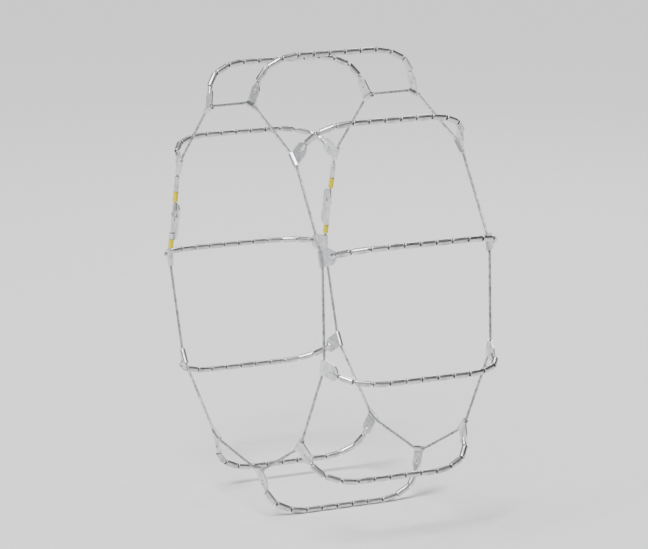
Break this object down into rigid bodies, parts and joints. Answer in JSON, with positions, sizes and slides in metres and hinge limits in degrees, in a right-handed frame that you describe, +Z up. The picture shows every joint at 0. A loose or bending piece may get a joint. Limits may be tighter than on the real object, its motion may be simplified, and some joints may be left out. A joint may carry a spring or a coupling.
{
  "type": "cable tire snow chain",
  "caption": "Cable-type tire snow chain in its fitted shape: side cables joined by roller-covered cross cables in stamped end clips, closed by T connectors at slotted plates.",
  "frame": {"origin": "centre of the tyre that the chain is fitted to, midway between the two side cables", "axes": "+Y along the axle towards the inner side of the wheel, +Z up, -Y the outer side"},
  "size_m": [0.6885, 0.2764, 0.6917],
  "materials": {
    "wire_rope": "twisted galvanised strands",
    "roller_steel": "plain steel tube, rubbed bright",
    "zinc_plate": "bright zinc plating",
    "forged_steel": "forged, zinc plated",
    "yellow_vinyl": "smooth vinyl"
  },
  "bodies": {
    "bay_00": {"cross_cable_00": "wire_rope", "shoulder_rollers_00": "roller_steel", "end_clips_00": "zinc_plate", "side_cables_00": "wire_rope"},
    "bay_01": {"cross_cable_01": "wire_rope", "shoulder_rollers_01": "roller_steel", "end_clips_01": "zinc_plate", "side_cables_01": "wire_rope"},
    "bay_02": {"cross_cable_02": "wire_rope", "shoulder_rollers_02": "roller_steel", "end_clips_02": "zinc_plate", "side_cables_02": "wire_rope"},
    "bay_03": {"cross_cable_03": "wire_rope", "shoulder_rollers_03": "roller_steel", "end_clips_03": "zinc_plate", "side_cables_03": "wire_rope"},
    "bay_04": {"cross_cable_04": "wire_rope", "shoulder_rollers_04": "roller_steel", "end_clips_04": "zinc_plate", "side_cables_04": "wire_rope"},
    "bay_05": {"cross_cable_05": "wire_rope", "shoulder_rollers_05": "roller_steel", "end_clips_05": "zinc_plate", "side_cables_05": "wire_rope"},
    "bay_06": {"cross_cable_06": "wire_rope", "shoulder_rollers_06": "roller_steel", "end_clips_06": "zinc_plate", "side_cables_06": "wire_rope"},
    "bay_07": {"cross_cable_07": "wire_rope", "shoulder_rollers_07": "roller_steel", "end_clips_07": "zinc_plate", "side_cables_07": "wire_rope"},
    "bay_08": {"cross_cable_08": "wire_rope", "shoulder_rollers_08": "roller_steel", "end_clips_08": "zinc_plate", "side_cables_08": "wire_rope"},
    "bay_09": {"cross_cable_09": "wire_rope", "shoulder_rollers_09": "roller_steel", "end_clips_09": "zinc_plate", "side_cables_09": "wire_rope", "adjuster_plates": "zinc_plate", "adjuster_sleeves": "yellow_vinyl"},
    "bay_10": {"cross_cable_10": "wire_rope", "shoulder_rollers_10": "roller_steel", "end_clips_10": "zinc_plate", "side_cables_10": "wire_rope", "connector_sleeves": "yellow_vinyl"},
    "tread_set_00": {"tread_rollers_00": "roller_steel"},
    "tread_set_01": {"tread_rollers_01": "roller_steel"},
    "tread_set_02": {"tread_rollers_02": "roller_steel"},
    "tread_set_03": {"tread_rollers_03": "roller_steel"},
    "tread_set_04": {"tread_rollers_04": "roller_steel"},
    "tread_set_05": {"tread_rollers_05": "roller_steel"},
    "tread_set_06": {"tread_rollers_06": "roller_steel"},
    "tread_set_07": {"tread_rollers_07": "roller_steel"},
    "tread_set_08": {"tread_rollers_08": "roller_steel"},
    "tread_set_09": {"tread_rollers_09": "roller_steel"},
    "tread_set_10": {"tread_rollers_10": "roller_steel"},
    "connector_outer": {"t_connector_outer": "forged_steel"},
    "connector_inner": {"t_connector_inner": "forged_steel"}
  },
  "joints": [
    {"name": "unroll_03", "type": "hinge", "parent": "bay_02", "child": "bay_03", "pos_m": [0.18284, 0, 0.20591], "axis": [0, -1, 0], "range_deg": [0, 32.73]},
    {"name": "unroll_02", "type": "hinge", "parent": "bay_01", "child": "bay_02", "pos_m": [0.04249, 0, 0.27207], "axis": [0, -1, 0], "range_deg": [0, 16.36]},
    {"name": "unroll_04", "type": "hinge", "parent": "bay_03", "child": "bay_04", "pos_m": [0.26514, 0, 0.07437], "axis": [0, -1, 0], "range_deg": [0, 32.73]},
    {"name": "unroll_05", "type": "hinge", "parent": "bay_04", "child": "bay_05", "pos_m": [0.26326, 0, -0.08078], "axis": [0, -1, 0], "range_deg": [0, 32.73]},
    {"name": "unroll_06", "type": "hinge", "parent": "bay_05", "child": "bay_06", "pos_m": [0.17779, 0, -0.21028], "axis": [0, -1, 0], "range_deg": [0, 32.73]},
    {"name": "unroll_07", "type": "hinge", "parent": "bay_06", "child": "bay_07", "pos_m": [0.03588, 0, -0.27302], "axis": [0, -1, 0], "range_deg": [0, 32.73]},
    {"name": "unroll_08", "type": "hinge", "parent": "bay_07", "child": "bay_08", "pos_m": [-0.11742, 0, -0.24908], "axis": [0, -1, 0], "range_deg": [0, 32.73]},
    {"name": "unroll_09", "type": "hinge", "parent": "bay_08", "child": "bay_09", "pos_m": [-0.23345, 0, -0.14606], "axis": [0, -1, 0], "range_deg": [0, 32.73]},
    {"name": "unroll_00", "type": "hinge", "parent": "bay_01", "child": "bay_00", "pos_m": [0.01404, 0, 0.27501], "axis": [0, 1, 0], "range_deg": [0, 16.36]},
    {"name": "unroll_10", "type": "hinge", "parent": "bay_00", "child": "bay_10", "pos_m": [-0.13687, 0, 0.23895], "axis": [0, 1, 0], "range_deg": [0, 32.73]},
    {"name": "tread_spin_00", "type": "hinge", "parent": "bay_00", "child": "tread_set_00", "pos_m": [-0.1557, 0, 0.30787], "axis": [0, 1, 0], "continuous": true},
    {"name": "tread_spin_01", "type": "hinge", "parent": "bay_01", "child": "tread_set_01", "pos_m": [0.03546, 0, 0.34317], "axis": [0, 1, 0], "continuous": true},
    {"name": "tread_spin_02", "type": "hinge", "parent": "bay_02", "child": "tread_set_02", "pos_m": [0.21537, 0, 0.26952], "axis": [0, 1, 0], "continuous": true},
    {"name": "tread_spin_03", "type": "hinge", "parent": "bay_03", "child": "tread_set_03", "pos_m": [0.32689, 0, 0.1103], "axis": [0, 1, 0], "continuous": true},
    {"name": "tread_spin_04", "type": "hinge", "parent": "bay_04", "child": "tread_set_04", "pos_m": [0.33463, 0, -0.08394], "axis": [0, 1, 0], "continuous": true},
    {"name": "tread_spin_05", "type": "hinge", "parent": "bay_05", "child": "tread_set_05", "pos_m": [0.23613, 0, -0.25153], "axis": [0, 1, 0], "continuous": true},
    {"name": "tread_spin_06", "type": "hinge", "parent": "bay_06", "child": "tread_set_06", "pos_m": [0.06266, 0, -0.33926], "axis": [0, 1, 0], "continuous": true},
    {"name": "tread_spin_07", "type": "hinge", "parent": "bay_07", "child": "tread_set_07", "pos_m": [-0.13071, 0, -0.31928], "axis": [0, 1, 0], "continuous": true},
    {"name": "tread_spin_08", "type": "hinge", "parent": "bay_08", "child": "tread_set_08", "pos_m": [-0.28258, 0, -0.19793], "axis": [0, 1, 0], "continuous": true},
    {"name": "tread_spin_09", "type": "hinge", "parent": "bay_09", "child": "tread_set_09", "pos_m": [-0.34473, 0, -0.01374], "axis": [0, 1, 0], "continuous": true},
    {"name": "tread_spin_10", "type": "hinge", "parent": "bay_10", "child": "tread_set_10", "pos_m": [-0.29743, 0, 0.17482], "axis": [0, 1, 0], "continuous": true},
    {"name": "connector_swing_outer", "type": "hinge", "parent": "bay_10", "child": "connector_outer", "pos_m": [-0.25612, -0.134, 0.08002], "axis": [-0.9699, 0, 0.2433], "range_deg": [0, 70]},
    {"name": "connector_swing_inner", "type": "hinge", "parent": "bay_10", "child": "connector_inner", "pos_m": [-0.25612, 0.134, 0.08002], "axis": [0.9699, 0, -0.2433], "range_deg": [0, 70]}
  ],
  "couplings": [
    {"joint": "unroll_02", "follows": "unroll_03", "ratio": 0.5},
    {"joint": "unroll_04", "follows": "unroll_03", "ratio": 1},
    {"joint": "unroll_05", "follows": "unroll_03", "ratio": 1},
    {"joint": "unroll_06", "follows": "unroll_03", "ratio": 1},
    {"joint": "unroll_07", "follows": "unroll_03", "ratio": 1},
    {"joint": "unroll_08", "follows": "unroll_03", "ratio": 1},
    {"joint": "unroll_09", "follows": "unroll_03", "ratio": 1},
    {"joint": "unroll_00", "follows": "unroll_03", "ratio": 0.5},
    {"joint": "unroll_10", "follows": "unroll_03", "ratio": 1}
  ]
}
